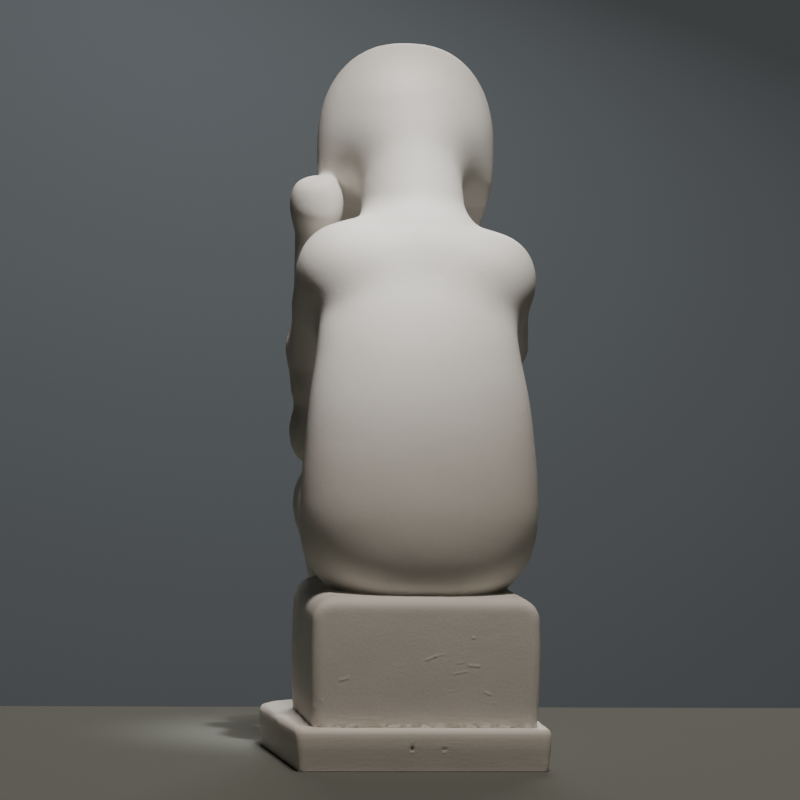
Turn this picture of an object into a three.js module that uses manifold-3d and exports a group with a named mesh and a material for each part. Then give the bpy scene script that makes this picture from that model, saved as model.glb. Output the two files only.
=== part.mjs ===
import * as THREE from 'three';
import { mergeVertices } from 'three/addons/utils/BufferGeometryUtils.js';
import Module from 'manifold-3d';

// Driving dimensions, in millimetres.
const SITTING_HEIGHT = 154.8;
const FIGURE_SHIFT = -1.36;
const HEAD_WIDTH = 51.2;
const HEAD_HEIGHT = 68.9;
const HEAD_BACK = 18;
const JAW_BACK = 0.5;
const FACE_TILT = 5;
const SEAT_WIDTH = 61.8;
const SEAT_DEPTH = 64;
const SEAT_HEIGHT = 34.9;
const SEAT_RISE = 3;
const SEAT_BULGE = 0.6;
const SEAT_TAPER = 1;
const SEAT_ARRIS = 3;
const SEAT_SIDE_ARRIS = 6;
const SEAT_REAR_CORNER = 3;
const SEAT_FRONT_CORNER = 8;
const SEAT_SETBACK = 5;
const SEAT_SHIFT = -0.6;
const PLINTH_THICKNESS = 11.6;
const PLINTH_SIDE_MARGIN = 3.85;
const PLINTH_FLARE = 4.35;
const PLINTH_FOOT_ROOM = 23;
const PLINTH_REAR_CORNER = 1.5;
const PLINTH_FRONT_CORNER = 24;
const PLINTH_ARRIS = 1.4;
const PLINTH_TAPER = 0.8;
const PLINTH_SKEW = 0.35;
const NET_CELL = 3.75;

// The figure is drawn at a sitting height of 154.8 and scaled from there.
const UNIT = SITTING_HEIGHT / 154.8;
const PLINTH_DEPTH = SEAT_SETBACK + SEAT_DEPTH + PLINTH_FOOT_ROOM;
const SEAT_TOP = PLINTH_THICKNESS + SEAT_HEIGHT;
const SEAT_FRONT = SEAT_DEPTH / UNIT;
const FLOOR = -SEAT_HEIGHT / UNIT;

// Trunk sections: height above the seat, half width, rear and front distance from the seat's rear face.
const TRUNK = [
  [0, 21, 6.2, 39],
  [4, 25.2, 3.5, 42],
  [10.5, 29.6, 1.5, 45],
  [19.5, 32.6, 1, 47],
  [28.5, 32.9, 2, 47],
  [41.5, 32, 4.9, 46],
  [53.5, 30.7, 8.8, 46],
  [66.5, 28.6, 14.2, 48],
  [77.5, 27.6, 19.6, 51],
  [86.5, 27.2, 24.4, 53],
  [94.5, 23.6, 29, 55],
  [102.5, 14.6, 34.6, 56],
];

function joined(a, b, reach) {
  const h = Math.max(reach - Math.abs(a - b), 0) / reach;
  return Math.min(a, b) - h * h * reach * 0.25;
}

function cutBy(a, b, reach) {
  return -joined(-a, -b, reach);
}

// Signed distance to a rod with round ends of two radii.
function rod(p, a, b, ra, rb) {
  const ba = [b[0] - a[0], b[1] - a[1], b[2] - a[2]];
  const pa = [p[0] - a[0], p[1] - a[1], p[2] - a[2]];
  const l2 = ba[0] * ba[0] + ba[1] * ba[1] + ba[2] * ba[2];
  const rr = ra - rb;
  const a2 = l2 - rr * rr;
  const y = pa[0] * ba[0] + pa[1] * ba[1] + pa[2] * ba[2];
  const z = y - l2;
  let x2 = 0;
  for (let i = 0; i < 3; i++) {
    const q = pa[i] * l2 - y * ba[i];
    x2 += q * q;
  }
  const y2 = y * y * l2;
  const z2 = z * z * l2;
  const k = Math.sign(rr) * rr * rr * x2;
  if (Math.sign(z) * a2 * z2 > k) return Math.sqrt(x2 + z2) / l2 - rb;
  if (Math.sign(y) * a2 * y2 < k) return Math.sqrt(x2 + y2) / l2 - ra;
  return (Math.sqrt((x2 * a2) / l2) + y * rr) / l2 - ra;
}

// Approximate distance to a squarish ellipsoid.
function pebble(d, r, power) {
  let sum = 0;
  let slope = 0;
  for (let i = 0; i < 3; i++) {
    const s = Math.abs(d[i] / r[i]) + 1e-9;
    sum += s ** power;
    slope += (s ** (power - 1) / r[i]) ** 2;
  }
  const k = sum ** (1 / power);
  return (k - 1) / Math.max(Math.sqrt(slope) * k ** (1 - power), 1e-6);
}

function block(p, c, h, r) {
  const q = [0, 1, 2].map((i) => Math.abs(p[i] - c[i]) - h[i] + r);
  const out = Math.hypot(Math.max(q[0], 0), Math.max(q[1], 0), Math.max(q[2], 0));
  return out + Math.min(Math.max(q[0], q[1], q[2]), 0) - r;
}

function sectionAt(z) {
  const last = TRUNK.length - 1;
  const zc = Math.min(Math.max(z, TRUNK[0][0]), TRUNK[last][0]);
  let i = 0;
  while (i < last - 1 && zc > TRUNK[i + 1][0]) i++;
  const h = TRUNK[i + 1][0] - TRUNK[i][0];
  const t = (zc - TRUNK[i][0]) / h;
  const slope = (k, c) => {
    const lo = Math.max(k - 1, 0);
    const hi = Math.min(k + 1, last);
    return (TRUNK[hi][c] - TRUNK[lo][c]) / (TRUNK[hi][0] - TRUNK[lo][0]);
  };
  return [1, 2, 3].map((c) => {
    const a = TRUNK[i][c];
    const b = TRUNK[i + 1][c];
    const rise = 3 * t * t - 2 * t * t * t;
    const start = (t * t * t - 2 * t * t + t) * h * slope(i, c);
    const end = (t * t * t - t * t) * h * slope(i + 1, c);
    return a + (b - a) * rise + start + end;
  });
}

function trunk(p) {
  const power = 2.25;
  const [half, rear, front] = sectionAt(p[2]);
  const depth = (front - rear) / 2;
  const sx = Math.abs(p[0] / half) + 1e-9;
  const su = Math.abs((p[1] - (front + rear) / 2) / depth) + 1e-9;
  const k = (sx ** power + su ** power) ** (1 / power);
  const slope = Math.hypot(sx ** (power - 1) / half, su ** (power - 1) / depth) * k ** (1 - power);
  const side = ((k - 1) / Math.max(slope, 1e-6)) * 0.9;
  const top = TRUNK[TRUNK.length - 1][0];
  return cutBy(cutBy(side, p[2] - top, 8), -2 - p[2], 2);
}

// Approximate distance to an ellipsoid, squarish in outline and rounder in depth.
function egg(d, r, power, depthPower) {
  const s = d.map((v, i) => Math.abs(v / r[i]) + 1e-9);
  const rim = (s[0] ** power + s[2] ** power) ** (1 / power);
  const k = (rim ** depthPower + s[1] ** depthPower) ** (1 / depthPower);
  const spread = (rim / k) ** (depthPower - 1) * rim ** (1 - power);
  const across = (spread * s[0] ** (power - 1)) / r[0];
  const deep = (s[1] / k) ** (depthPower - 1) / r[1];
  const up = (spread * s[2] ** (power - 1)) / r[2];
  return (k - 1) / Math.max(Math.hypot(across, deep, up), 1e-6);
}

function head(p) {
  const z = p[2] - 124.9;
  const chin = 8 * (1 - Math.exp(-((Math.max(117 - p[2], 0) / 12.5) ** 2)));
  const u = p[1] - 66 - 0.14 * z - chin;
  const under = Math.min(Math.max((135 - p[2]) / 26, 0), 1);
  const back = (HEAD_BACK - (HEAD_BACK - JAW_BACK) * under ** 2.1) / UNIT;
  const height = (z > 0 ? HEAD_HEIGHT * 0.46 : HEAD_HEIGHT * 0.54) / UNIT;
  const across = p[0] + 0.4 + 0.02 * Math.max(z, 0);
  const tilt = THREE.MathUtils.degToRad(FACE_TILT);
  const face = (p[1] - 76) * Math.cos(tilt) + (p[2] - 121.5) * Math.sin(tilt);
  const radii = [HEAD_WIDTH / 2 / UNIT, u < 0 ? back : 14, height];
  return cutBy(egg([across, u, z], radii, 2.3, 1.9), face, 7);
}

function leg(p, side) {
  const knee = [side * 16.4, SEAT_FRONT + 1.4, 25.2];
  const hip = [side * 15.5, 27, 15.5];
  const shinTop = [side * 15.8, SEAT_FRONT + 2.5, 19.5];
  const ankle = [side * 10.8, SEAT_FRONT + 9, FLOOR + 8];
  const thigh = rod(p, hip, knee, 16.5, 13.7);
  const shin = rod(p, shinTop, ankle, 13.2, 8.4);
  const d = [p[0] - side * 10.6, p[1] - SEAT_FRONT - 11.5, p[2] - FLOOR - 2.5];
  const foot = pebble(d, [7.6, 10.2, 7], 2.3);
  return joined(joined(thigh, shin, 5), foot, 4);
}

// The left fist against the cheek, its knuckles cut to a slope.
function fist(p) {
  const d = [p[0] - 25.9, p[1] - SEAT_FRONT + 5, p[2] - 108.4];
  const knuckles = d[0] * 0.27 - d[1] * 0.3 + d[2] * 0.91 - 7.9;
  return cutBy(pebble(d, [7.6, 8, 8.9], 2.25), knuckles, 1.5);
}

// The whole seated figure as one smooth distance field, in drawing units from the seat's rear top edge.
function figure(p) {
  const elbow = SEAT_FRONT - 2;
  const leftShoulder = [20.4, 40, 90.3];
  const rightShoulder = [-21.6, 40, 88.2];
  const yokeLeft = rod(p, [0, 44.5, 93.5], leftShoulder, 12.4, 10.4);
  const yokeRight = rod(p, [0, 44.5, 93.5], rightShoulder, 12.4, 11.1);
  const neck = rod(p, [-1.8, 46, 91], [0.4, 62.5, 134], 14.9, 14);
  let d = joined(trunk(p), Math.min(yokeLeft, yokeRight), 10);
  d = joined(d, neck, 6);
  d = joined(d, head(p), 7);
  const upperArm = rod(p, leftShoulder, [24.1, 49, 79.5], 10.2, 9.5);
  const lowerHalf = rod(p, [24.1, 49, 79.5], [24.7, elbow - 3, 68.5], 9.5, 7.8);
  d = joined(d, Math.min(upperArm, lowerHalf), 8);
  d = joined(d, rod(p, [25, elbow, 56.5], [25.9, elbow - 2, 102], 6.9, 5.9), 3);
  d = joined(d, fist(p), 2);
  d = joined(d, rod(p, rightShoulder, [-27.8, 58, 70], 10.6, 8), 6);
  d = joined(d, rod(p, [-26.6, 59.5, 67.5], [16, elbow + 5, 46], 7.6, 5.8), 3);
  d = joined(d, pebble([p[0] - 22.8, p[1] - elbow - 1, p[2] - 43.4], [8.9, 8.4, 9], 2.4), 5);
  d = joined(d, joined(leg(p, 1), leg(p, -1), 8), 4);
  const lap = [SEAT_FRONT / 2 + 9, SEAT_FRONT / 2 - 12];
  return joined(d, block(p, [0, lap[0], 4], [24, lap[1], 9], 5), 3);
}

const EDGES = [];
for (let axis = 0; axis < 3; axis++) {
  for (let k = 0; k < 4; k++) {
    const b = (axis + 1) % 3;
    const c = (axis + 2) % 3;
    const from = ((k & 1) << b) | ((k >> 1) << c);
    EDGES.push([from, from | (1 << axis)]);
  }
}

const FACES = [];
for (let axis = 0; axis < 3; axis++) {
  for (let side = 0; side < 2; side++) {
    const on = (corner) => ((corner >> axis) & 1) === side;
    FACES.push([...EDGES.keys()].filter((e) => on(EDGES[e][0]) && on(EDGES[e][1])));
  }
}

// Splits a cell's crossed edges into the loops that the surface makes through it.
function loopsOf(inside) {
  const crossed = EDGES.map(([a, b]) => inside[a] !== inside[b]);
  const group = EDGES.map((_, e) => e);
  const find = (e) => (group[e] === e ? e : find(group[e]));
  const link = (a, b) => {
    group[find(a)] = find(b);
  };
  for (const face of FACES) {
    const hit = face.filter((e) => crossed[e]);
    if (hit.length === 2) link(hit[0], hit[1]);
    if (hit.length < 4) continue;
    for (let corner = 0; corner < 8; corner++) {
      const own = hit.filter((e) => inside[corner] && EDGES[e].includes(corner));
      if (own.length === 2) link(own[0], own[1]);
    }
  }
  const loops = new Map();
  for (let e = 0; e < 12; e++) {
    if (!crossed[e]) continue;
    const root = find(e);
    if (!loops.has(root)) loops.set(root, []);
    loops.get(root).push(e);
  }
  return [...loops.values()];
}

// Closed mesh of a distance field: one point per surface loop in each cell, moved onto the surface.
function netOf(field, low, high, cell) {
  const count = [0, 1, 2].map((i) => Math.ceil((high[i] - low[i]) / cell) + 1);
  const at = (i, j, k) => i + count[0] * (j + count[1] * k);
  const value = new Float64Array(count[0] * count[1] * count[2]);
  for (let k = 0; k < count[2]; k++) {
    for (let j = 0; j < count[1]; j++) {
      for (let i = 0; i < count[0]; i++) {
        value[at(i, j, k)] = field([low[0] + i * cell, low[1] + j * cell, low[2] + k * cell]);
      }
    }
  }
  const points = [];
  const owner = new Map();
  const settle = (start) => {
    const p = start.slice();
    for (let round = 0; round < 4; round++) {
      const d = field(p);
      const g = [0, 1, 2].map((i) => {
        const q = p.slice();
        q[i] += 0.02;
        return (field(q) - d) / 0.02;
      });
      const g2 = Math.max(g[0] * g[0] + g[1] * g[1] + g[2] * g[2], 0.3);
      const step = Math.min(Math.max(d, -cell * 0.3), cell * 0.3);
      for (let i = 0; i < 3; i++) p[i] -= (step * g[i]) / g2;
    }
    const off = Math.hypot(p[0] - start[0], p[1] - start[1], p[2] - start[2]);
    return off < cell * 0.6 ? p : start;
  };
  for (let k = 0; k < count[2] - 1; k++) {
    for (let j = 0; j < count[1] - 1; j++) {
      for (let i = 0; i < count[0] - 1; i++) {
        const corner = [];
        for (let c = 0; c < 8; c++) corner.push(value[at(i + (c & 1), j + ((c >> 1) & 1), k + (c >> 2))]);
        const inside = corner.map((v) => v < 0);
        if (inside.every((v) => v === inside[0])) continue;
        for (const loop of loopsOf(inside)) {
          const mid = [0, 0, 0];
          for (const e of loop) {
            const [a, b] = EDGES[e];
            const t = corner[a] / (corner[a] - corner[b]);
            for (let x = 0; x < 3; x++) {
              const ca = (a >> x) & 1;
              const cb = (b >> x) & 1;
              mid[x] += (ca + (cb - ca) * t) / loop.length;
            }
          }
          const id = points.length;
          points.push(settle([i + mid[0], j + mid[1], k + mid[2]].map((v, x) => low[x] + v * cell)));
          for (const e of loop) owner.set(at(i, j, k) * 12 + e, id);
        }
      }
    }
  }
  const index = [];
  const far = (a, b) => {
    const p = points[a];
    const q = points[b];
    return Math.hypot(p[0] - q[0], p[1] - q[1], p[2] - q[2]);
  };
  const step = [1, count[0], count[0] * count[1]];
  for (let k = 1; k < count[2] - 1; k++) {
    for (let j = 1; j < count[1] - 1; j++) {
      for (let i = 1; i < count[0] - 1; i++) {
        const here = at(i, j, k);
        for (let axis = 0; axis < 3; axis++) {
          const start = value[here] < 0;
          if (start === value[here + step[axis]] < 0) continue;
          const b = step[(axis + 1) % 3];
          const c = step[(axis + 2) % 3];
          const cells = [here, here - b, here - b - c, here - c];
          const slot = [0, 1, 3, 2];
          let quad = cells.map((id, n) => owner.get(id * 12 + axis * 4 + slot[n]));
          if (!start) quad = quad.reverse();
          const [q0, q1, q2, q3] = quad;
          if (far(q0, q2) <= far(q1, q3)) index.push(q0, q1, q2, q0, q2, q3);
          else index.push(q0, q1, q3, q1, q2, q3);
        }
      }
    }
  }
  const geometry = new THREE.BufferGeometry();
  geometry.setAttribute('position', new THREE.Float32BufferAttribute(points.flat(), 3));
  geometry.setIndex(index);
  return geometry;
}

// Plan outline of a convex block with rounded corners, moved inward by an inset; u runs forward.
function outline(corners, radii, inset, steps) {
  const n = corners.length;
  const lines = corners.map((a, i) => {
    const b = corners[(i + 1) % n];
    const length = Math.hypot(b[0] - a[0], b[1] - a[1]);
    const dir = [(b[0] - a[0]) / length, (b[1] - a[1]) / length];
    return { dir, from: [a[0] - dir[1] * inset, a[1] + dir[0] * inset] };
  });
  const points = [];
  for (let i = 0; i < n; i++) {
    const into = lines[(i + n - 1) % n];
    const out = lines[i];
    const cross = into.dir[0] * out.dir[1] - into.dir[1] * out.dir[0];
    const gap = [out.from[0] - into.from[0], out.from[1] - into.from[1]];
    const t = (gap[0] * out.dir[1] - gap[1] * out.dir[0]) / cross;
    const tip = [into.from[0] + into.dir[0] * t, into.from[1] + into.dir[1] * t];
    const turn = Math.atan2(cross, into.dir[0] * out.dir[0] + into.dir[1] * out.dir[1]);
    const r = Math.max(radii[i] - inset, 0.4);
    const back = r * Math.tan(turn / 2);
    const start = [tip[0] - into.dir[0] * back, tip[1] - into.dir[1] * back];
    const centre = [start[0] - into.dir[1] * r, start[1] + into.dir[0] * r];
    for (let s = 0; s <= steps; s++) {
      const angle = Math.atan2(-into.dir[0], into.dir[1]) + (turn * s) / steps;
      points.push([centre[0] + r * Math.cos(angle), centre[1] + r * Math.sin(angle)]);
    }
  }
  return points;
}

// Closed solid through a pile of outlines with the same number of points.
function pile(rings) {
  const n = rings[0].length;
  const points = rings.flat();
  const middle = (ring) => [0, 1, 2].map((x) => ring.reduce((s, p) => s + p[x], 0) / n);
  const low = points.length;
  points.push(middle(rings[0]), middle(rings[rings.length - 1]));
  const index = [];
  for (let i = 0; i < n; i++) {
    const j = (i + 1) % n;
    for (let k = 0; k < rings.length - 1; k++) {
      const a = k * n;
      const b = a + n;
      index.push(a + i, a + j, b + j, a + i, b + j, b + i);
    }
    const top = (rings.length - 1) * n;
    index.push(low, j, i, low + 1, top + i, top + j);
  }
  const geometry = new THREE.BufferGeometry();
  geometry.setAttribute('position', new THREE.Float32BufferAttribute(points.flat(), 3));
  geometry.setIndex(index);
  return geometry;
}

const REAR_HALF = SEAT_WIDTH / 2 + PLINTH_SIDE_MARGIN;
const FRONT_HALF = REAR_HALF + PLINTH_FLARE;
const PLINTH_CORNERS = [
  [PLINTH_SKEW - REAR_HALF, 0],
  [PLINTH_SKEW + REAR_HALF, 0],
  [FRONT_HALF, PLINTH_DEPTH],
  [-FRONT_HALF, PLINTH_DEPTH],
];
const PLINTH_RADII = [PLINTH_REAR_CORNER, PLINTH_REAR_CORNER, PLINTH_FRONT_CORNER, PLINTH_FRONT_CORNER];

// Forward distance u becomes -Y, with the plinth centred on the origin.
const plan = outline(PLINTH_CORNERS, PLINTH_RADII, 0, 8);
const xs = plan.map((p) => p[0]);
const CENTRE_X = (Math.min(...xs) + Math.max(...xs)) / 2;
const placed = (x, u, z) => [x - CENTRE_X, PLINTH_DEPTH / 2 - u, z];

function ring(corners, radii, inset, steps, height) {
  return outline(corners, radii, inset, steps).map(([x, u]) => placed(x, u, height(u))).reverse();
}

function plinthGeometry() {
  const rings = [];
  const add = (inset, z) => rings.push(ring(PLINTH_CORNERS, PLINTH_RADII, inset, 8, () => z));
  add(PLINTH_TAPER, 0);
  add(0, PLINTH_THICKNESS * 0.6);
  for (let s = 0; s <= 4; s++) {
    const angle = (s / 4) * (Math.PI / 2);
    const rise = PLINTH_ARRIS * (1 - Math.sin(angle));
    add(PLINTH_ARRIS * (1 - Math.cos(angle)), PLINTH_THICKNESS - rise);
  }
  return pile(rings);
}

// How far a rounded arris of radius r has drawn in at a depth below the top.
function drawnIn(r, depth) {
  const up = Math.min(Math.max(r - depth, 0), r);
  return r - Math.sqrt(r * r - up * up);
}

function seatGeometry() {
  const radii = [SEAT_REAR_CORNER, SEAT_REAR_CORNER, SEAT_FRONT_CORNER, SEAT_FRONT_CORNER];
  const rings = [];
  const add = (rise) => {
    const t = Math.max(rise, 0) / SEAT_HEIGHT;
    const swell = SEAT_BULGE * (1 - (2 * t - 1) ** 2);
    const half = SEAT_WIDTH / 2 + swell - drawnIn(SEAT_SIDE_ARRIS, SEAT_HEIGHT - rise);
    const end = swell - drawnIn(SEAT_ARRIS, SEAT_HEIGHT - rise);
    const corners = [
      [SEAT_SHIFT - half, SEAT_SETBACK - end],
      [SEAT_SHIFT + half, SEAT_SETBACK - end],
      [SEAT_SHIFT + half - SEAT_TAPER, SEAT_SETBACK + SEAT_DEPTH + end],
      [SEAT_SHIFT - half + SEAT_TAPER, SEAT_SETBACK + SEAT_DEPTH + end],
    ];
    const lean = (u) => t * ((u - SEAT_SETBACK) / SEAT_DEPTH) * SEAT_RISE;
    rings.push(ring(corners, radii, 0, 5, (u) => PLINTH_THICKNESS + rise + lean(u)));
  };
  add(-3);
  const shoulder = SEAT_HEIGHT - SEAT_SIDE_ARRIS;
  for (let s = 0; s <= 5; s++) add((s / 5) * shoulder);
  for (let s = 1; s <= 6; s++) add(shoulder + SEAT_SIDE_ARRIS * Math.sin((s / 6) * (Math.PI / 2)));
  return pile(rings);
}

// Long straight nose: height above the seat, half width, how far it stands out from the face.
const NOSE = [
  [109.5, 1.6, 1.4],
  [111, 3.4, 4.2],
  [113, 3.6, 5],
  [122, 2.8, 3.4],
  [134, 1.8, 0.9],
  [137, 1, -1],
];

function noseGeometry() {
  const lean = Math.tan(THREE.MathUtils.degToRad(FACE_TILT));
  const rings = NOSE.map(([z, half, out]) => {
    const u = 76 - lean * (z - 121.5);
    const shape = [[-half, -4], [-half, 0], [-half * 0.45, out], [half * 0.45, out], [half, 0], [half, -4]];
    return shape.map(([x, forward]) => {
      const across = (x - 0.4) * UNIT + FIGURE_SHIFT;
      return placed(across, SEAT_SETBACK + (u + forward) * UNIT, SEAT_TOP + z * UNIT);
    });
  });
  return pile(rings);
}

const wasm = await Module();
wasm.setup();

function solid(geometry) {
  const copy = geometry.clone();
  copy.deleteAttribute('normal');
  copy.deleteAttribute('uv');
  const welded = mergeVertices(copy, 1e-4);
  const vertProperties = new Float32Array(welded.attributes.position.array);
  const triVerts = new Uint32Array(welded.index.array);
  return new wasm.Manifold(new wasm.Mesh({ numProp: 3, vertProperties, triVerts }));
}

function geometryOf(manifold) {
  const mesh = manifold.getMesh();
  const geometry = new THREE.BufferGeometry();
  geometry.setAttribute('position', new THREE.Float32BufferAttribute(mesh.vertProperties, 3));
  geometry.setIndex(Array.from(mesh.triVerts));
  geometry.computeVertexNormals();
  return geometry;
}

function figureGeometry() {
  const field = (p) => {
    const x = (p[0] + CENTRE_X - FIGURE_SHIFT) / UNIT;
    const u = (PLINTH_DEPTH / 2 - p[1] - SEAT_SETBACK) / UNIT;
    return UNIT * figure([x, u, (p[2] - SEAT_TOP) / UNIT]);
  };
  const reach = 42 * UNIT;
  const front = PLINTH_DEPTH / 2 - SEAT_SETBACK - SEAT_DEPTH - 30 * UNIT;
  const low = [FIGURE_SHIFT - CENTRE_X - reach, front, PLINTH_THICKNESS - 10 * UNIT];
  const high = [FIGURE_SHIFT - CENTRE_X + reach, PLINTH_DEPTH / 2 + 4 * UNIT, SEAT_TOP + SITTING_HEIGHT * 1.1];
  const figureSolid = solid(netOf(field, low, high, NET_CELL));
  const whole = figureSolid.add(solid(noseGeometry())).add(solid(seatGeometry()));
  const wide = PLINTH_DEPTH * 4;
  const below = new THREE.BoxGeometry(wide, wide, wide);
  below.translate(0, 0, PLINTH_THICKNESS - wide / 2);
  return geometryOf(whole.subtract(solid(below)));
}

const stone = new THREE.MeshStandardMaterial({ color: 0xe4e1dc, roughness: 0.7 });

function piece(name, geometry) {
  const mesh = new THREE.Mesh(geometry, stone);
  mesh.name = name;
  return mesh;
}

const group = new THREE.Group();
group.add(piece('seated_figure', figureGeometry()));
group.add(piece('plinth', plinthGeometry()));

export default group;
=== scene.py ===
import math

import bmesh
import bpy
import numpy as np
from mathutils import Matrix, Vector, noise


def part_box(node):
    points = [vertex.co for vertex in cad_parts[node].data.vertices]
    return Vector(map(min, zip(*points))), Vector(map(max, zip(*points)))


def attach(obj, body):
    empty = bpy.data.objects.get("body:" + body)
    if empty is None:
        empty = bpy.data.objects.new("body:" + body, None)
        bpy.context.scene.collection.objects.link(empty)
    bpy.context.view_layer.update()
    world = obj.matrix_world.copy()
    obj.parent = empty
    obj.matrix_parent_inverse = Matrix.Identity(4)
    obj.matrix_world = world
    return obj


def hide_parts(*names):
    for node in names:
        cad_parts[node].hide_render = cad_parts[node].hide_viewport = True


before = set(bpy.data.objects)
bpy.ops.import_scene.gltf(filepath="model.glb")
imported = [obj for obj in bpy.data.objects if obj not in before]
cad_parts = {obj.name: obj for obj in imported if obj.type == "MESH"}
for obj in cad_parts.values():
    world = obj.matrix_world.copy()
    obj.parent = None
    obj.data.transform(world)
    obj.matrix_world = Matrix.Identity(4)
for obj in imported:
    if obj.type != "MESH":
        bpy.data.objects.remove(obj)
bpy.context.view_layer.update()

# Sizes are in millimetres until a mesh is made, as in the solids.
MM = 0.001
PLINTH_LOW, PLINTH_HIGH = (np.array(corner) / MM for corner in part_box("plinth"))
FIGURE_LOW, FIGURE_HIGH = (np.array(corner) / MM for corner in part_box("seated_figure"))
PLINTH_TOP = PLINTH_HIGH[2]
PLINTH_DEPTH = PLINTH_HIGH[1] - PLINTH_LOW[1]

# Figure and head. The shifts are sideways, from the middle of the frame.
FIGURE_SHIFT = -1.46
HEAD_WIDTH = 51.2
HEAD_HEIGHT = 68.9
HEAD_BACK = 18.0
JAW_BACK = 0.5
FACE_TILT = 5.0
HEAD_MIDDLE = 124.9
HEAD_PLACE = 66
HEAD_LEAN = 0.14
HEAD_FRONT = 14
CHIN_START = 117
CHIN_RUN = 12.5
CHIN_FORWARD = 8
JAW_START = 135
JAW_RUN = 26
FACE_PLACE = 76
FACE_HEIGHT = 121.5

# Seat. The arrises and corners are radii.
SEAT_WIDTH = 61.8
SEAT_DEPTH = 64.0
SEAT_HEIGHT = 34.9
SEAT_RISE = 3.0
SEAT_BULGE = 0.6
SEAT_TAPER = 1.0
SEAT_ARRIS = 3.0
SEAT_SIDE_ARRIS = 6.0
SEAT_REAR_CORNER = 3.0
SEAT_FRONT_CORNER = 8.0
SEAT_SETBACK = 5.0
SEAT_SHIFT = -0.7
SEAT_TOP = PLINTH_TOP + SEAT_HEIGHT
SEAT_REAR = PLINTH_DEPTH / 2 - SEAT_SETBACK

# Plinth, wider in front than behind.
PLINTH_REAR_HALF = 34.75
PLINTH_FLARE = 4.35
PLINTH_SKEW = 0.35
PLINTH_CENTRE = 0.1
PLINTH_REAR_CORNER = 1.5
PLINTH_FRONT_CORNER = 24.0
PLINTH_ARRIS = 1.4
PLINTH_TAPER = 0.8

# Mesh cells, and the room left around a solid's box.
FIGURE_CELL = 0.98
PLINTH_CELL = 1.4
ROOM_LOW = (4, 4, 6)
ROOM_HIGH = (4, 4, 4)

# Coarse grain: size per metre, stretch along z, relief, and the height in metres that it ends at.
SEAT_GRAIN = (1700, 1.0, 0.17, (SEAT_TOP - 1) * MM)
PLINTH_BRUSHING = (220, 9.0, 0.11, 1.0)

# Colours: lighter and darker stone for each piece, then the stage.
FIGURE_COLOUR, FIGURE_MOTTLE = (0.80, 0.775, 0.735), (0.765, 0.74, 0.695)
PLINTH_COLOUR, PLINTH_MOTTLE = (0.84, 0.8, 0.74), (0.81, 0.77, 0.71)
FLOOR_COLOUR = (0.15, 0.157, 0.143)
WALL_COLOUR = (0.32, 0.375, 0.43)
WORLD_COLOUR = (0.004, 0.004, 0.004)

# Stage, in metres: a plain table top that ends not far behind the figure, and a plain grey wall.
FLOOR_SIDE = 1.2
FLOOR_FAR = -0.14
FLOOR_NEAR = 1.3
WALL_FAR = -1.35
WALL_LOW = -1.0
WALL_HIGH = 1.6
CHEST = (0, 0, 0.12)
NAPE = (0, 0.02, 0.19)

# The photograph's view: from behind, a little to the figure's left, almost level.
AZIMUTH = math.radians(172)
ELEVATION = math.radians(0.4775)
ROLL = math.radians(0.9)
CAMERA_PLACE = (0.1431, 1.00339, 0.1082)
CAMERA_LENS = 162
CAMERA_SENSOR = 36

# Trunk sections: height above the seat, half width, rear and front distance from the seat's rear face.
TRUNK = np.array([
    (0, 21, 6.2, 39),
    (4, 25.2, 3.5, 42),
    (10.5, 29.6, 1.5, 45),
    (19.5, 32.6, 1, 47),
    (28.5, 32.9, 2, 47),
    (41.5, 32, 4.9, 46),
    (53.5, 30.7, 8.8, 46),
    (66.5, 28.6, 14.2, 48),
    (77.5, 27.6, 19.6, 51),
    (86.5, 27.2, 24.4, 53),
    (94.5, 23.6, 29, 55),
    (102.5, 14.6, 34.6, 56),
])


def joined(a, b, reach):
    h = np.maximum(reach - np.abs(a - b), 0) / reach
    return np.minimum(a, b) - h * h * reach * 0.25


def cut_by(a, b, reach):
    return -joined(-a, -b, reach)


def rod(p, a, b, ra, rb):
    """Signed distance to a rod with round ends of two radii."""
    a, b = np.array(a, float), np.array(b, float)
    ba = b - a
    l2 = ba @ ba
    rr = ra - rb
    a2 = l2 - rr * rr
    pa = p - a
    y = pa @ ba
    z = y - l2
    q = pa * l2 - y[:, None] * ba
    x2 = (q * q).sum(1)
    y2 = y * y * l2
    z2 = z * z * l2
    k = np.sign(rr) * rr * rr * x2
    side = (np.sqrt(x2 * a2 / l2) + y * rr) / l2 - ra
    d = np.where(np.sign(y) * a2 * y2 < k, np.sqrt(x2 + y2) / l2 - ra, side)
    return np.where(np.sign(z) * a2 * z2 > k, np.sqrt(x2 + z2) / l2 - rb, d)


def pebble(d, r, power):
    """Approximate distance to a squarish ellipsoid."""
    r = np.array(r, float) if np.ndim(r[0]) == 0 else np.stack(r, 1)
    s = np.abs(d / r) + 1e-9
    k = (s**power).sum(1) ** (1 / power)
    slope = np.sqrt(((s ** (power - 1) / r) ** 2).sum(1)) * k ** (1 - power)
    return (k - 1) / np.maximum(slope, 1e-6)


def block(p, centre, half, r):
    q = np.abs(p - np.array(centre, float)) - np.array(half, float) + r
    return np.linalg.norm(np.maximum(q, 0), axis=1) + np.minimum(q.max(1), 0) - r


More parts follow.
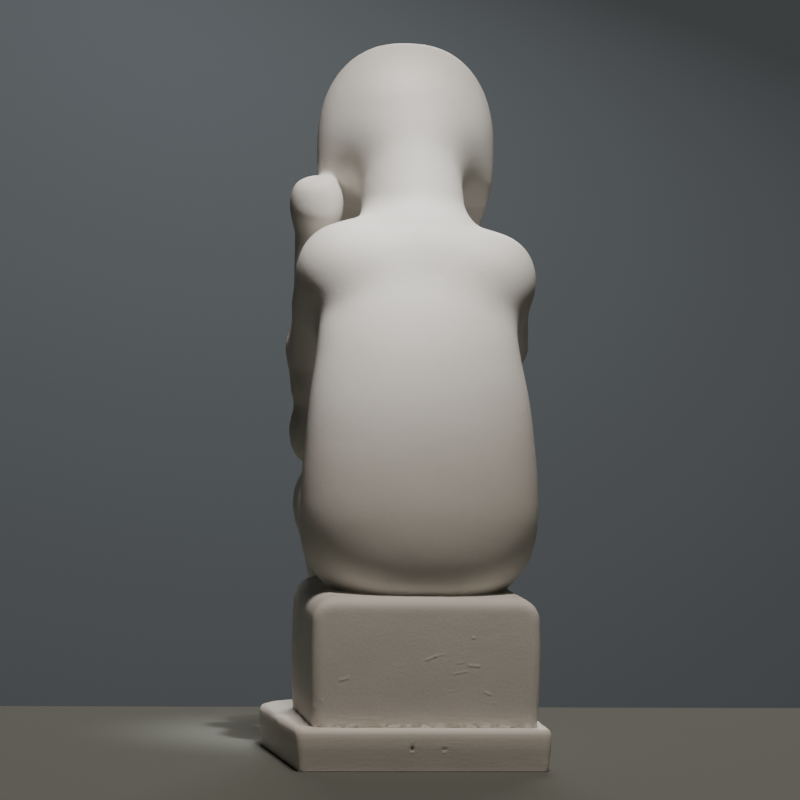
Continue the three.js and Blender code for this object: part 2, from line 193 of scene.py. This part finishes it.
def trunk(p):
    """The trunk through its sections, eased in between, rounded off above and flat below."""
    power = 2.25
    slack = 0.9
    top_ease, base, base_ease = 8, 2, 2
    heights = TRUNK[:, 0]
    z = np.clip(p[:, 2], heights[0], heights[-1])
    i = np.clip(np.searchsorted(heights, z, side="right") - 1, 0, len(heights) - 2)
    h = heights[i + 1] - heights[i]
    t = ((z - heights[i]) / h)[:, None]
    wide = np.vstack([TRUNK[1:], TRUNK[-1:]]) - np.vstack([TRUNK[:1], TRUNK[:-1]])
    slope = wide[:, 1:] / wide[:, :1]
    a, b = TRUNK[i, 1:], TRUNK[i + 1, 1:]
    bend = (t**3 - 2 * t**2 + t) * slope[i] + (t**3 - t**2) * slope[i + 1]
    half, rear, front = (a + (b - a) * (3 * t**2 - 2 * t**3) + bend * h[:, None]).T
    depth = (front - rear) / 2
    sx = np.abs(p[:, 0] / half) + 1e-9
    su = np.abs((p[:, 1] - (front + rear) / 2) / depth) + 1e-9
    k = (sx**power + su**power) ** (1 / power)
    steep = np.hypot(sx ** (power - 1) / half, su ** (power - 1) / depth) * k ** (1 - power)
    side = (k - 1) / np.maximum(steep, 1e-6) * slack
    return cut_by(cut_by(side, p[:, 2] - heights[-1], top_ease), -base - p[:, 2], base_ease)


def egg(d, radii, power, depth_power):
    """Approximate distance to an ellipsoid, squarish in outline and rounder in depth."""
    across, deep, up = (np.abs(d[:, i] / radii[i]) + 1e-9 for i in range(3))
    rim = (across**power + up**power) ** (1 / power)
    k = (rim**depth_power + deep**depth_power) ** (1 / depth_power)
    spread = (rim / k) ** (depth_power - 1) * rim ** (1 - power)
    slope = (spread * across ** (power - 1) / radii[0]) ** 2
    slope = slope + ((deep / k) ** (depth_power - 1) / radii[1]) ** 2
    slope = slope + (spread * up ** (power - 1) / radii[2]) ** 2
    return (k - 1) / np.maximum(np.sqrt(slope), 1e-6)


def head(p):
    """The head: an egg that leans forward, thins to the jaw and is cut flat for the face."""
    z = p[:, 2] - HEAD_MIDDLE
    below = np.maximum(CHIN_START - p[:, 2], 0) / CHIN_RUN
    chin = CHIN_FORWARD * (1 - np.exp(-(below**2)))
    u = p[:, 1] - HEAD_PLACE - HEAD_LEAN * z - chin
    under = np.clip((JAW_START - p[:, 2]) / JAW_RUN, 0, 1)
    back = HEAD_BACK - (HEAD_BACK - JAW_BACK) * under**2.1
    rise = np.where(z > 0, HEAD_HEIGHT * 0.46, HEAD_HEIGHT * 0.54)
    radii = (np.full_like(z, HEAD_WIDTH / 2), np.where(u < 0, back, HEAD_FRONT), rise)
    tilt = math.radians(FACE_TILT)
    face = (p[:, 1] - FACE_PLACE) * math.cos(tilt) + (p[:, 2] - FACE_HEIGHT) * math.sin(tilt)
    across = p[:, 0] + 0.4 + 0.02 * np.maximum(z, 0)
    return cut_by(egg(np.stack([across, u, z], 1), radii, 2.3, 1.9), face, 7)


def nose(p):
    bridge, tip = (-0.4, 75.6, 133), (-0.4, 77.6, 112.5)
    return rod(p, bridge, tip, 1.5, 3.1)


def leg(p, side):
    floor = -SEAT_HEIGHT
    hip, knee = (side * 15.5, 27, 15.5), (side * 16.4, SEAT_DEPTH + 1.4, 25.2)
    shin_top, ankle = (side * 15.8, SEAT_DEPTH + 2.5, 19.5), (side * 10.8, SEAT_DEPTH + 9, floor + 8)
    instep = np.array([side * 10.6, SEAT_DEPTH + 11.5, floor + 2.5])
    thigh = rod(p, hip, knee, 16.5, 13.7)
    shin = rod(p, shin_top, ankle, 13.2, 8.4)
    foot = pebble(p - instep, (7.6, 10.2, 7), 2.3)
    return joined(joined(thigh, shin, 5), foot, 4)


def fist(p):
    """The left fist against the cheek, its knuckles cut to a slope."""
    d = p - np.array([25.9, SEAT_DEPTH - 5, 108.4])
    knuckles = d[:, 0] * 0.27 - d[:, 1] * 0.3 + d[:, 2] * 0.91 - 7.9
    return cut_by(pebble(d, (7.6, 8, 8.9), 2.25), knuckles, 1.5)


def figure(p):
    """The whole seated figure, from the seat's rear top edge."""
    elbow = SEAT_DEPTH - 2
    collar, neck_base, neck_top = (0, 44.5, 93.5), (-1.8, 46, 91), (0.4, 62.5, 134)
    left_shoulder, right_shoulder = (20.4, 40, 90.3), (-21.6, 40, 88.2)
    left_bend, left_upper_end = (24.1, 49, 79.5), (24.7, elbow - 3, 68.5)
    left_elbow, left_wrist = (25, elbow, 56.5), (25.9, elbow - 2, 102)
    right_upper_end = (-27.8, 58, 70)
    right_elbow, right_wrist = (-26.6, 59.5, 67.5), (16, elbow + 5, 46)
    right_hand = np.array([22.8, elbow + 1, 43.4])
    lap, lap_half = (0, SEAT_DEPTH / 2 + 9, 4), (24, SEAT_DEPTH / 2 - 12, 9)

    yoke_left = rod(p, collar, left_shoulder, 12.4, 10.4)
    yoke_right = rod(p, collar, right_shoulder, 12.4, 11.1)
    d = joined(trunk(p), np.minimum(yoke_left, yoke_right), 10)
    d = joined(d, rod(p, neck_base, neck_top, 14.9, 14), 6)
    d = joined(d, head(p), 7)
    d = joined(d, nose(p), 2.5)
    upper_arm = rod(p, left_shoulder, left_bend, 10.2, 9.5)
    upper_arm = np.minimum(upper_arm, rod(p, left_bend, left_upper_end, 9.5, 7.8))
    d = joined(d, upper_arm, 8)
    d = joined(d, rod(p, left_elbow, left_wrist, 6.9, 5.9), 3)
    d = joined(d, fist(p), 2)
    d = joined(d, rod(p, right_shoulder, right_upper_end, 10.6, 8), 6)
    d = joined(d, rod(p, right_elbow, right_wrist, 7.6, 5.8), 3)
    d = joined(d, pebble(p - right_hand, (8.9, 8.4, 9), 2.4), 5)
    d = joined(d, joined(leg(p, 1), leg(p, -1), 8), 4)
    return joined(d, block(p, lap, lap_half, 5), 3)


def rounded(across, along, r):
    """Distance to a rounded corner between two walls, from the distances to each."""
    q = np.maximum(across + r, 0), np.maximum(along + r, 0)
    return np.hypot(*q) + np.minimum(np.maximum(across, along) + r, 0) - r


def eased(drop, r):
    """How far a wall draws in at a rounded top edge of radius r."""
    return r - np.sqrt(np.maximum(r**2 - np.clip(r - drop, 0, r) ** 2, 0))


def seat(p):
    u = PLINTH_DEPTH / 2 - p[:, 1] - SEAT_SETBACK
    t = np.clip((p[:, 2] - PLINTH_TOP) / SEAT_HEIGHT, 0, 1)
    swell = SEAT_BULGE * (1 - (2 * t - 1) ** 2)
    top = SEAT_TOP + SEAT_RISE * u / SEAT_DEPTH - p[:, 2]
    corner = np.where(u > SEAT_DEPTH / 2, SEAT_FRONT_CORNER, SEAT_REAR_CORNER)
    across = np.abs(p[:, 0] - SEAT_SHIFT) - SEAT_WIDTH / 2 - swell
    across = across + SEAT_TAPER * u / SEAT_DEPTH + eased(top, SEAT_SIDE_ARRIS)
    along = np.abs(u - SEAT_DEPTH / 2) - SEAT_DEPTH / 2 - swell + eased(top, SEAT_ARRIS)
    return np.maximum(rounded(across, along, corner), -top)


def seated_figure(p):
    u = PLINTH_DEPTH / 2 - p[:, 1] - SEAT_SETBACK
    own = figure(np.stack([p[:, 0] - FIGURE_SHIFT, u, p[:, 2] - SEAT_TOP], 1))
    return joined(own, seat(p), 1.2)


def plinth(p):
    x, u, z = p[:, 0] + PLINTH_CENTRE, PLINTH_DEPTH / 2 - p[:, 1], p[:, 2]
    side = np.sign(x)
    rear_half = PLINTH_REAR_HALF + side * PLINTH_SKEW
    run = PLINTH_REAR_HALF + PLINTH_FLARE - rear_half
    across = (np.abs(x) - rear_half - run * u / PLINTH_DEPTH) * np.cos(np.arctan(run / PLINTH_DEPTH))
    along = np.abs(u - PLINTH_DEPTH / 2) - PLINTH_DEPTH / 2
    corner = np.where(u > PLINTH_DEPTH / 2, PLINTH_FRONT_CORNER, PLINTH_REAR_CORNER)
    taper = PLINTH_TAPER * np.clip(1 - z / (0.6 * PLINTH_TOP), 0, 1)
    return rounded(rounded(across, along, corner) + taper, z - PLINTH_TOP, PLINTH_ARRIS)


def gradient(field, p, step=0.02):
    """Field values at points, and their slopes."""
    base = field(p)
    return base, np.stack([(field(p + step * axis) - base) / step for axis in np.eye(3)], 1)


def settle(field, p, reach, rounds=3):
    """Points moved onto the field's surface, by steps of at most the reach."""
    for _ in range(rounds):
        d, g = gradient(field, p)
        push = np.clip(d, -reach, reach) / np.maximum((g * g).sum(1), 0.3)
        p = p - g * push[:, None]
    return p


def sampled(field, low, count, cell, coarse=5):
    """Field values on a grid, worked out finely only near the surface."""
    blocks = [math.ceil(n / coarse) for n in count]
    middle = np.stack(np.meshgrid(*[np.arange(n) for n in blocks], indexing="ij"), -1)
    centre = low + (middle.reshape(-1, 3) * coarse + (coarse - 1) / 2) * cell
    value = field(centre).reshape(blocks)
    for axis in range(3):
        value = np.repeat(value, coarse, axis=axis)
    value = value[: count[0], : count[1], : count[2]].copy()
    close = np.argwhere(np.abs(value) < coarse * cell * 1.5)
    value[tuple(close.T)] = field(low + close * cell)
    return value


def net(field, low, high, cell):
    """Points and quads of the field's surface: one point in each crossed cell, moved onto the surface."""
    low = np.array(low, float)
    count = [math.ceil((b - a) / cell) + 1 for a, b in zip(low, high)]
    value = sampled(field, low, count, cell)
    inside = value < 0
    cells = tuple(n - 1 for n in count)
    corners = [(i, j, k) for i in (0, 1) for j in (0, 1) for k in (0, 1)]
    full = np.ones(cells, bool)
    some = np.zeros(cells, bool)
    for corner in corners:
        at_corner = inside[tuple(slice(i, i + n) for i, n in zip(corner, cells))]
        full &= at_corner
        some |= at_corner
    crossed = np.argwhere(some & ~full)
    total = np.zeros((len(crossed), 3))
    hits = np.zeros(len(crossed))
    for a in corners:
        for axis in range(3):
            if a[axis]:
                continue
            b = np.array(a)
            b[axis] = 1
            va = value[tuple((crossed + a).T)]
            vb = value[tuple((crossed + b).T)]
            hit = (va < 0) != (vb < 0)
            t = np.where(hit, va / np.where(hit, va - vb, 1), 0)
            total += np.where(hit[:, None], np.array(a) + t[:, None] * np.eye(3)[axis], 0)
            hits += hit
    points = low + (crossed + total / hits[:, None]) * cell
    points = settle(field, points, cell * 0.3)
    number = np.full(cells, -1)
    number[tuple(crossed.T)] = np.arange(len(crossed))
    quads = []
    for axis in range(3):
        b, c = np.eye(3, dtype=int)[(axis + 1) % 3], np.eye(3, dtype=int)[(axis + 2) % 3]
        flip = inside != np.roll(inside, -1, axis=axis)
        within = np.zeros_like(inside)
        within[1:-1, 1:-1, 1:-1] = flip[1:-1, 1:-1, 1:-1]
        at = np.argwhere(within)
        ring = np.stack([number[tuple((at - o).T)] for o in (0 * b, b, b + c, c)], 1)
        starts = inside[tuple(at.T)]
        ring[~starts] = ring[~starts][:, ::-1]
        quads.append(ring)
    return points, np.concatenate(quads)


def far_from(points, a, b):
    """Distance of points to the line between a and b."""
    a, b = np.array(a, float), np.array(b, float)
    run = b - a
    t = np.clip((points - a) @ run / max(run @ run, 1e-9), 0, 1)
    return np.linalg.norm(points - a - t[:, None] * run, axis=1)


def as_array(bm):
    bm.verts.ensure_lookup_table()
    return np.array([v.co for v in bm.verts])


def refine(bm, wanted, cuts):
    """Splits the faces whose middle the test wants."""
    middles = np.array([f.calc_center_median() for f in bm.faces])
    pick = wanted(middles)
    bm.faces.ensure_lookup_table()
    edges = {e for i in np.nonzero(pick)[0] for e in bm.faces[i].edges}
    bmesh.ops.subdivide_edges(bm, edges=list(edges), cuts=cuts, use_grid_fill=True)


def shaped(field, box, cell, base, wanted, relief):
    """A field's mesh, cut flat at its base, finer where wanted, with relief along its normals."""
    low, high = box
    points, quads = net(field, low - ROOM_LOW, high + ROOM_HIGH, cell)
    bm = bmesh.new()
    verts = [bm.verts.new(p) for p in points]
    for quad in quads:
        bm.faces.new([verts[i] for i in quad])
    everything = bm.verts[:] + bm.edges[:] + bm.faces[:]
    cut = bmesh.ops.bisect_plane(
        bm, geom=everything, plane_co=(0, 0, base), plane_no=(0, 0, -1), clear_outer=True
    )
    rim = [e for e in cut["geom_cut"] if isinstance(e, bmesh.types.BMEdge)]
    bmesh.ops.contextual_create(bm, geom=rim)
    bmesh.ops.holes_fill(bm, edges=[e for e in bm.edges if e.is_boundary], sides=0)
    refine(bm, wanted, 3)
    p = as_array(bm)
    free = p[:, 2] > base + 1e-4
    moved = settle(field, p, 0.2, 2)
    _, g = gradient(field, moved)
    normal = g / np.maximum(np.linalg.norm(g, axis=1), 1e-6)[:, None]
    moved = moved + normal * relief(moved, normal)[:, None]
    moved[:, 2] = np.maximum(moved[:, 2], base)
    p[free] = moved[free]
    foot = ~free
    flat = normal * relief(p, normal)[:, None]
    flat[:, 2] = 0
    p[foot] += flat[foot]
    for vert, co in zip(bm.verts, p * MM):
        vert.co = co
    bmesh.ops.recalc_face_normals(bm, faces=bm.faces)
    mesh = bpy.data.meshes.new("shape")
    bm.to_mesh(mesh)
    bm.free()
    mesh.polygons.foreach_set("use_smooth", [len(f.vertices) < 12 for f in mesh.polygons])
    return mesh


def ripple(p, size, seed):
    """Smooth noise at points, with waves of the size."""
    return np.array([noise.noise(Vector(q) / size + Vector((seed, 0, 0))) for q in p])


# Marks seen from behind: x and z of both ends, then height and half width. A pit's height is below zero.
SEAT_MARKS = [
    ((-0.4, 29.9), (-2.9, 30.9), 0.104, 0.28),
    ((-2.9, 30.9), (-5.3, 31.5), 0.056, 0.22),
    ((-13.1, 35.9), (-13.3, 36.0), 0.112, 0.38),
    ((-8.9, 29.0), (-10.5, 29.3), 0.056, 0.25),
    ((-12.2, 28.5), (-14.9, 28.2), 0.096, 0.36),
    ((-8.0, 26.2), (-11.4, 26.8), 0.072, 0.28),
    ((-7.2, 21.4), (-8.4, 21.6), 0.04, 0.25),
    ((-16.6, 21.2), (-18.2, 20.5), 0.088, 0.3),
    ((-17.0, 18.3), (-19.6, 18.2), 0.04, 0.25),
    ((23.0, 24.3), (20.9, 24.9), 0.096, 0.34),
    ((28.2, 18.9), (27.6, 18.4), 0.056, 0.28),
    ((29.9, 17.4), (29.8, 16.8), 0.128, 0.34),
    ((7.2, 28.0), (5.9, 28.5), 0.024, 0.3),
]
BACK_MARKS = [
    ((-15.0, 138.5), (-15.8, 138.3), 0.048, 0.28),
    ((-18.1, 135.8), (-18.6, 136.2), 0.048, 0.28),
    ((-5.8, 135.0), (-6.2, 135.0), -0.06, 1.0),
    ((-18.9, 76.5), (-19.3, 76.6), 0.048, 0.3),
    ((-28.8, 96.7), (-29.2, 97.1), 0.08, 0.35),
]
PLINTH_MARKS = [
    ((3.7, 5.9), (3.65, 6.6), -0.9, 0.27),
    ((-4.9, 6.1), (-5.3, 6.2), -0.18, 0.45),
]

# Heights above the plinth of the ragged cement line and of the scuffs, and depths of the marked faces.
CRUMB_HEIGHT = 1.2
SCUFF_HEIGHT = 4.5
SEAT_FACE = 2
PLINTH_FACE = 1.5
SEAT_UNMARKED = 4
BACK_FRONT = -12


def flat_to_rear(points):
    return points[:, [0, 2]]


def near_marks(points, marks, margin):
    flat = flat_to_rear(points)
    hit = np.zeros(len(points), bool)
    for a, b, _, width in marks:
        hit |= far_from(flat, a, b) < width + margin
    return hit


def scored(points, normal, marks):
    """Height of the marks seen from behind: a burr casts a small hollow below it, and a pit a small lip."""
    flat = flat_to_rear(points)
    out = np.zeros(len(points))
    behind = np.clip(normal[:, 1] * 3, 0, 1)
    for a, b, height, width in marks:
        out += height * np.exp(-((far_from(flat, a, b) / width) ** 2))
        below = [(q[0], q[1] - width * 1.5) for q in (a, b)]
        out -= 0.4 * height * np.exp(-((far_from(flat, *below) / (width * 0.8)) ** 2))
    return out * behind


def figure_wanted(points):
    rear = points[:, 1] > SEAT_REAR - SEAT_FACE
    on_seat = (points[:, 2] < SEAT_TOP - SEAT_UNMARKED) & rear
    on_back = (points[:, 2] > SEAT_TOP) & (points[:, 1] > BACK_FRONT)
    crumbs = points[:, 2] < PLINTH_TOP + CRUMB_HEIGHT
    scuffs = (points[:, 2] < PLINTH_TOP + SCUFF_HEIGHT) & rear
    seat_hit = near_marks(points, SEAT_MARKS, 0.8) & on_seat
    back_hit = near_marks(points, BACK_MARKS, 0.8) & on_back
    return seat_hit | back_hit | crumbs | scuffs


def figure_relief(points, normal):
    """Soft unevenness, the marks, the scuffs low on the seat and its ragged foot."""
    rear = points[:, 1] > SEAT_REAR - SEAT_FACE
    low = points[:, 2] < SEAT_TOP - SEAT_UNMARKED
    out = 0.05 * ripple(points, 9, 3) + 0.02 * ripple(points, 3, 8)
    out += np.where(rear & low, scored(points, normal, SEAT_MARKS), 0)
    out += np.where(points[:, 2] > SEAT_TOP, scored(points, normal, BACK_MARKS), 0)
    above = points[:, 2] - PLINTH_TOP
    t = np.clip(1 - above / SCUFF_HEIGHT, 0, 1)
    out += 0.09 * t * ripple(points * (0.35, 1, 1.6), 1.1, 17)
    t = np.clip(1 - above / CRUMB_HEIGHT, 0, 1)
    ragged = 0.9 * ripple(points * (1, 1, 0.3), 2.2, 1) + 0.6 * ripple(points, 0.8, 5) - 0.06
    return out + np.clip(ragged, -0.45, 0.3) * t**1.5


def plinth_wanted(points):
    rear = points[:, 1] > PLINTH_DEPTH / 2 - PLINTH_FACE
    return near_marks(points, PLINTH_MARKS, 1.0) & rear


def plinth_relief(points, normal):
    rear = points[:, 1] > PLINTH_DEPTH / 2 - PLINTH_FACE
    out = 0.04 * ripple(points, 7, 11) - 0.04
    return out + np.where(rear, scored(points, normal, PLINTH_MARKS), 0)


def stone(name, colour, mottle, roughness, coarse):
    """Cast stone: a little light passes in, with faint clouding, a fine grain and a coarser one."""
    material = bpy.data.materials.new(name)
    material.use_nodes = True
    nodes, links = material.node_tree.nodes, material.node_tree.links
    shader = nodes["Principled BSDF"]
    shader.inputs["Roughness"].default_value = roughness
    shader.inputs["Subsurface Weight"].default_value = 0.1
    shader.inputs["Subsurface Radius"].default_value = (1.0, 0.85, 0.7)
    shader.inputs["Subsurface Scale"].default_value = 0.002
    shader.inputs["Specular IOR Level"].default_value = 0.3
    where = nodes.new("ShaderNodeTexCoord")
    cloud = nodes.new("ShaderNodeTexNoise")
    cloud.inputs["Scale"].default_value = 45
    cloud.inputs["Detail"].default_value = 6
    ramp = nodes.new("ShaderNodeValToRGB")
    ramp.color_ramp.elements[0].position = 0.3
    ramp.color_ramp.elements[0].color = (*mottle, 1)
    ramp.color_ramp.elements[1].position = 0.7
    ramp.color_ramp.elements[1].color = (*colour, 1)
    grain = nodes.new("ShaderNodeTexNoise")
    grain.inputs["Scale"].default_value = 1100
    grain.inputs["Detail"].default_value = 3
    fine_bump = nodes.new("ShaderNodeBump")
    fine_bump.inputs["Strength"].default_value = 0.16
    fine_bump.inputs["Distance"].default_value = 0.0002
    scale, stretch, relief, top = coarse
    stretched = nodes.new("ShaderNodeVectorMath")
    stretched.operation = "MULTIPLY"
    stretched.inputs[1].default_value = (1, 1, stretch)
    rough = nodes.new("ShaderNodeTexNoise")
    rough.inputs["Scale"].default_value = scale
    rough.inputs["Detail"].default_value = 4
    height = nodes.new("ShaderNodeSeparateXYZ")
    fade = nodes.new("ShaderNodeMapRange")
    fade.inputs["From Min"].default_value = top
    fade.inputs["From Max"].default_value = top - 0.003
    kept = nodes.new("ShaderNodeMath")
    kept.operation = "MULTIPLY"
    rough_bump = nodes.new("ShaderNodeBump")
    rough_bump.inputs["Strength"].default_value = relief
    rough_bump.inputs["Distance"].default_value = 0.0003
    links.new(where.outputs["Object"], cloud.inputs["Vector"])
    links.new(where.outputs["Object"], grain.inputs["Vector"])
    links.new(where.outputs["Object"], stretched.inputs[0])
    links.new(where.outputs["Object"], height.inputs["Vector"])
    links.new(stretched.outputs["Vector"], rough.inputs["Vector"])
    links.new(height.outputs["Z"], fade.inputs["Value"])
    links.new(rough.outputs["Fac"], kept.inputs[0])
    links.new(fade.outputs["Result"], kept.inputs[1])
    links.new(cloud.outputs["Fac"], ramp.inputs["Fac"])
    links.new(ramp.outputs["Color"], shader.inputs["Base Color"])
    links.new(grain.outputs["Fac"], fine_bump.inputs["Height"])
    links.new(kept.outputs["Value"], rough_bump.inputs["Height"])
    links.new(fine_bump.outputs["Normal"], rough_bump.inputs["Normal"])
    links.new(rough_bump.outputs["Normal"], shader.inputs["Normal"])
    return material


def add_piece(name, mesh, material, node):
    mesh.materials.append(material)
    piece = bpy.data.objects.new(name, mesh)
    bpy.context.scene.collection.objects.link(piece)
    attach(piece, "root")
    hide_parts(node)
    return piece


figure_box = (FIGURE_LOW, FIGURE_HIGH)
figure_mesh = shaped(seated_figure, figure_box, FIGURE_CELL, PLINTH_TOP, figure_wanted, figure_relief)
figure_stone = stone("figure_stone", FIGURE_COLOUR, FIGURE_MOTTLE, 0.62, SEAT_GRAIN)
add_piece("seated_figure_cast", figure_mesh, figure_stone, "seated_figure")

plinth_box = (PLINTH_LOW, PLINTH_HIGH)
plinth_mesh = shaped(plinth, plinth_box, PLINTH_CELL, 0.0, plinth_wanted, plinth_relief)
plinth_stone = stone("plinth_stone", PLINTH_COLOUR, PLINTH_MOTTLE, 0.66, PLINTH_BRUSHING)
add_piece("plinth_slab", plinth_mesh, plinth_stone, "plinth")


def plain(name, colour):
    material = bpy.data.materials.new(name)
    material.use_nodes = True
    shader = material.node_tree.nodes["Principled BSDF"]
    shader.inputs["Base Color"].default_value = (*colour, 1)
    shader.inputs["Roughness"].default_value = 1.0
    shader.inputs["Specular IOR Level"].default_value = 0.0
    return material


def add_sheet(name, corners, material):
    mesh = bpy.data.meshes.new(name)
    mesh.from_pydata(corners, [], [(0, 1, 2, 3)])
    mesh.materials.append(material)
    sheet = bpy.data.objects.new(name, mesh)
    bpy.context.scene.collection.objects.link(sheet)


floor_corners = [
    (-FLOOR_SIDE, FLOOR_FAR, 0),
    (FLOOR_SIDE, FLOOR_FAR, 0),
    (FLOOR_SIDE, FLOOR_NEAR, 0),
    (-FLOOR_SIDE, FLOOR_NEAR, 0),
]
wall_corners = [
    (-FLOOR_SIDE, WALL_FAR, WALL_LOW),
    (-FLOOR_SIDE, WALL_FAR, WALL_HIGH),
    (FLOOR_SIDE, WALL_FAR, WALL_HIGH),
    (FLOOR_SIDE, WALL_FAR, WALL_LOW),
]
add_sheet("floor", floor_corners, plain("floor", FLOOR_COLOUR))
add_sheet("wall", wall_corners, plain("wall", WALL_COLOUR))

world = bpy.data.worlds.new("room")
world.use_nodes = True
world.node_tree.nodes["Background"].inputs["Color"].default_value = (*WORLD_COLOUR, 1)
bpy.context.scene.world = world


def add_lamp(name, kind, place, aim, size, power, colour):
    """A lamp at its place, aimed at a point."""
    light = bpy.data.lights.new(name, kind)
    light.energy = power
    light.color = colour
    if kind == "AREA":
        light.size = size
    else:
        light.shadow_soft_size = size
    lamp = bpy.data.objects.new(name, light)
    lamp.location = place
    lamp.rotation_euler = (Vector(aim) - Vector(place)).to_track_quat("-Z", "Y").to_euler()
    bpy.context.scene.collection.objects.link(lamp)
    return light


# A warm lamp above and behind, a narrow white one on head and shoulders, and a weak fill for the front.
add_lamp(
    "overhead", "AREA", place=(-0.03, 0.44, 1.3), aim=CHEST, size=0.22, power=10.4, colour=(1.0, 0.905, 0.81)
)
key = add_lamp(
    "key", "SPOT", place=(-0.1, 0.46, 1.3), aim=NAPE, size=0.03, power=112, colour=(1.0, 1.0, 1.0)
)
key.spot_size = math.radians(4.4)
key.spot_blend = 1.0
add_lamp(
    "front_fill", "AREA", place=(-0.2, -1.1, 0.8), aim=CHEST, size=0.5, power=9, colour=(1.0, 0.97, 0.93)
)

back = Vector((
    math.sin(AZIMUTH) * math.cos(ELEVATION),
    -math.cos(AZIMUTH) * math.cos(ELEVATION),
    math.sin(ELEVATION),
))
level_right = Vector((0, 0, 1)).cross(back).normalized()
level_up = back.cross(level_right)
right = math.cos(ROLL) * level_right + math.sin(ROLL) * level_up
up = math.cos(ROLL) * level_up - math.sin(ROLL) * level_right
camera_data = bpy.data.cameras.new("camera")
camera_data.lens = CAMERA_LENS
camera_data.sensor_width = CAMERA_SENSOR
camera = bpy.data.objects.new("camera", camera_data)
facing = Matrix((right, up, back)).transposed().to_4x4()
camera.matrix_world = Matrix.Translation(CAMERA_PLACE) @ facing
bpy.context.scene.collection.objects.link(camera)
bpy.context.scene.camera = camera
